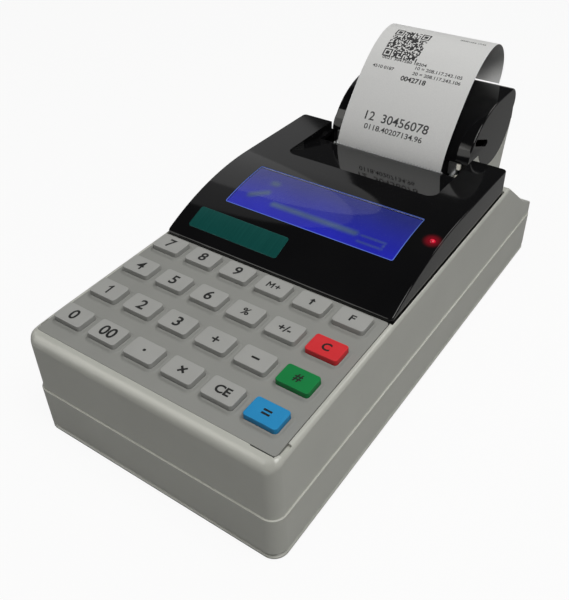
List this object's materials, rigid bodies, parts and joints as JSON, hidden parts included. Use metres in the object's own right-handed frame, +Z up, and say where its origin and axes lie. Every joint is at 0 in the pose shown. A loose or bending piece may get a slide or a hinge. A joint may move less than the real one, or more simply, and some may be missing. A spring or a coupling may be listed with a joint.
{
  "type": "ticket register",
  "caption": "Portable ticket register: tapered case, silicone keypad, curved display cover and a hinged lid over the receipt printer's paper roll.",
  "frame": {"origin": "under the middle of the whole object, on the plane the rubber feet stand on", "axes": "+X to the right of the person at the keypad, +Y away from that person towards the paper roll, +Z up"},
  "size_m": [0.1188, 0.2451, 0.1093],
  "materials": {
    "case": "fine satin grain",
    "mat": "matt silicone",
    "key": "matt silicone with black print",
    "blue_key": "matt silicone",
    "green_key": "matt silicone",
    "red_key": "matt silicone",
    "gloss_black": "high gloss",
    "window": "clear, blue tint",
    "display": "blue display glass",
    "badge": "satin",
    "lamp": "clear red",
    "circuit_board": "solder mask",
    "steel": "plated",
    "brass": "machined",
    "dark_plastic": "moulded",
    "paper": "coated thermal paper",
    "core": "spiral wound",
    "ceramic": "ground",
    "black_rubber": "ground",
    "gear_plastic": "moulded",
    "battery": "shrink sleeve",
    "cable": "flat cable"
  },
  "bodies": {
    "register": {"lower_case": "case", "upper_case": "case", "keypad_mat": "mat", "keypad_board": "circuit_board", "display_cover": "gloss_black", "display_window": "window", "display_panel": "display", "display_board": "circuit_board", "badge_plate": "badge", "status_lamp": "lamp", "tear_bar": "steel", "hinge_pin": "steel", "roll_bin": "dark_plastic", "receipt": "paper", "printer_frame": "steel", "print_head": "ceramic", "head_spring": "steel", "idler_pin": "steel", "step_motor": "steel", "main_board": "circuit_board", "memory_block": "dark_plastic", "beeper": "dark_plastic", "power_jack": "dark_plastic", "data_port": "steel", "battery_pack": "battery", "ribbon_cables": "cable", "case_screws": "steel", "rubber_feet": "black_rubber"},
    "key_0": {"key_0": "key"},
    "key_00": {"key_00": "key"},
    "key_point": {"key_point": "key"},
    "key_times": {"key_times": "key"},
    "key_clear": {"key_clear": "key"},
    "key_blue": {"key_blue": "blue_key"},
    "key_1": {"key_1": "key"},
    "key_2": {"key_2": "key"},
    "key_3": {"key_3": "key"},
    "key_plus": {"key_plus": "key"},
    "key_minus": {"key_minus": "key"},
    "key_green": {"key_green": "green_key"},
    "key_4": {"key_4": "key"},
    "key_5": {"key_5": "key"},
    "key_6": {"key_6": "key"},
    "key_percent": {"key_percent": "key"},
    "key_change": {"key_change": "key"},
    "key_red": {"key_red": "red_key"},
    "key_7": {"key_7": "key"},
    "key_8": {"key_8": "key"},
    "key_9": {"key_9": "key"},
    "key_memory": {"key_memory": "key"},
    "key_up": {"key_up": "key"},
    "key_mode": {"key_mode": "key"},
    "lid": {"roll_lid": "gloss_black"},
    "roll": {"paper_roll": "paper", "roll_core": "core"},
    "platen": {"platen_roller": "black_rubber", "platen_gear": "gear_plastic"},
    "idler": {"idler_gear": "gear_plastic"},
    "pinion": {"motor_pinion": "brass"},
    "door": {"battery_door": "case"}
  },
  "joints": [
    {"name": "press_0", "type": "slide", "parent": "register", "child": "key_0", "axis": [0, 0.0314, -0.9995], "range_m": [0, 0.0012], "stiffness_N_per_m": 600},
    {"name": "press_00", "type": "slide", "parent": "register", "child": "key_00", "axis": [0, 0.0314, -0.9995], "range_m": [0, 0.0012], "stiffness_N_per_m": 600},
    {"name": "press_point", "type": "slide", "parent": "register", "child": "key_point", "axis": [0, 0.0314, -0.9995], "range_m": [0, 0.0012], "stiffness_N_per_m": 600},
    {"name": "press_times", "type": "slide", "parent": "register", "child": "key_times", "axis": [0, 0.0314, -0.9995], "range_m": [0, 0.0012], "stiffness_N_per_m": 600},
    {"name": "press_clear", "type": "slide", "parent": "register", "child": "key_clear", "axis": [0, 0.0314, -0.9995], "range_m": [0, 0.0012], "stiffness_N_per_m": 600},
    {"name": "press_blue", "type": "slide", "parent": "register", "child": "key_blue", "axis": [0, 0.0314, -0.9995], "range_m": [0, 0.0012], "stiffness_N_per_m": 600},
    {"name": "press_1", "type": "slide", "parent": "register", "child": "key_1", "axis": [0, 0.0314, -0.9995], "range_m": [0, 0.0012], "stiffness_N_per_m": 600},
    {"name": "press_2", "type": "slide", "parent": "register", "child": "key_2", "axis": [0, 0.0314, -0.9995], "range_m": [0, 0.0012], "stiffness_N_per_m": 600},
    {"name": "press_3", "type": "slide", "parent": "register", "child": "key_3", "axis": [0, 0.0314, -0.9995], "range_m": [0, 0.0012], "stiffness_N_per_m": 600},
    {"name": "press_plus", "type": "slide", "parent": "register", "child": "key_plus", "axis": [0, 0.0314, -0.9995], "range_m": [0, 0.0012], "stiffness_N_per_m": 600},
    {"name": "press_minus", "type": "slide", "parent": "register", "child": "key_minus", "axis": [0, 0.0314, -0.9995], "range_m": [0, 0.0012], "stiffness_N_per_m": 600},
    {"name": "press_green", "type": "slide", "parent": "register", "child": "key_green", "axis": [0, 0.0314, -0.9995], "range_m": [0, 0.0012], "stiffness_N_per_m": 600},
    {"name": "press_4", "type": "slide", "parent": "register", "child": "key_4", "axis": [0, 0.0314, -0.9995], "range_m": [0, 0.0012], "stiffness_N_per_m": 600},
    {"name": "press_5", "type": "slide", "parent": "register", "child": "key_5", "axis": [0, 0.0314, -0.9995], "range_m": [0, 0.0012], "stiffness_N_per_m": 600},
    {"name": "press_6", "type": "slide", "parent": "register", "child": "key_6", "axis": [0, 0.0314, -0.9995], "range_m": [0, 0.0012], "stiffness_N_per_m": 600},
    {"name": "press_percent", "type": "slide", "parent": "register", "child": "key_percent", "axis": [0, 0.0314, -0.9995], "range_m": [0, 0.0012], "stiffness_N_per_m": 600},
    {"name": "press_change", "type": "slide", "parent": "register", "child": "key_change", "axis": [0, 0.0314, -0.9995], "range_m": [0, 0.0012], "stiffness_N_per_m": 600},
    {"name": "press_red", "type": "slide", "parent": "register", "child": "key_red", "axis": [0, 0.0314, -0.9995], "range_m": [0, 0.0012], "stiffness_N_per_m": 600},
    {"name": "press_7", "type": "slide", "parent": "register", "child": "key_7", "axis": [0, 0.0314, -0.9995], "range_m": [0, 0.0012], "stiffness_N_per_m": 600},
    {"name": "press_8", "type": "slide", "parent": "register", "child": "key_8", "axis": [0, 0.0314, -0.9995], "range_m": [0, 0.0012], "stiffness_N_per_m": 600},
    {"name": "press_9", "type": "slide", "parent": "register", "child": "key_9", "axis": [0, 0.0314, -0.9995], "range_m": [0, 0.0012], "stiffness_N_per_m": 600},
    {"name": "press_memory", "type": "slide", "parent": "register", "child": "key_memory", "axis": [0, 0.0314, -0.9995], "range_m": [0, 0.0012], "stiffness_N_per_m": 600},
    {"name": "press_up", "type": "slide", "parent": "register", "child": "key_up", "axis": [0, 0.0314, -0.9995], "range_m": [0, 0.0012], "stiffness_N_per_m": 600},
    {"name": "press_mode", "type": "slide", "parent": "register", "child": "key_mode", "axis": [0, 0.0314, -0.9995], "range_m": [0, 0.0012], "stiffness_N_per_m": 600},
    {"name": "lid_hinge", "type": "hinge", "parent": "register", "child": "lid", "pos_m": [0, 0.12025, 0.0702], "axis": [-1, 0, 0], "range_deg": [0, 100], "deforming": ["receipt"]},
    {"name": "roll_spin", "type": "hinge", "parent": "register", "child": "roll", "pos_m": [0, 0.09305, 0.0595], "axis": [1, 0, 0], "continuous": true},
    {"name": "platen_spin", "type": "hinge", "parent": "register", "child": "platen", "pos_m": [0, 0.06125, 0.054], "axis": [1, 0, 0], "continuous": true},
    {"name": "idler_spin", "type": "hinge", "parent": "register", "child": "idler", "pos_m": [0, 0.04856, 0.04938], "axis": [1, 0, 0], "continuous": true},
    {"name": "pinion_spin", "type": "hinge", "parent": "register", "child": "pinion", "pos_m": [0, 0.03822, 0.04756], "axis": [1, 0, 0], "continuous": true},
    {"name": "door_slide", "type": "slide", "parent": "register", "child": "door", "axis": [0, 1, 0], "range_m": [0, 0.012]}
  ],
  "couplings": [
    {"joint": "platen_spin", "follows": "roll_spin", "ratio": 4},
    {"joint": "idler_spin", "follows": "roll_spin", "ratio": -3.2},
    {"joint": "pinion_spin", "follows": "roll_spin", "ratio": 8}
  ]
}
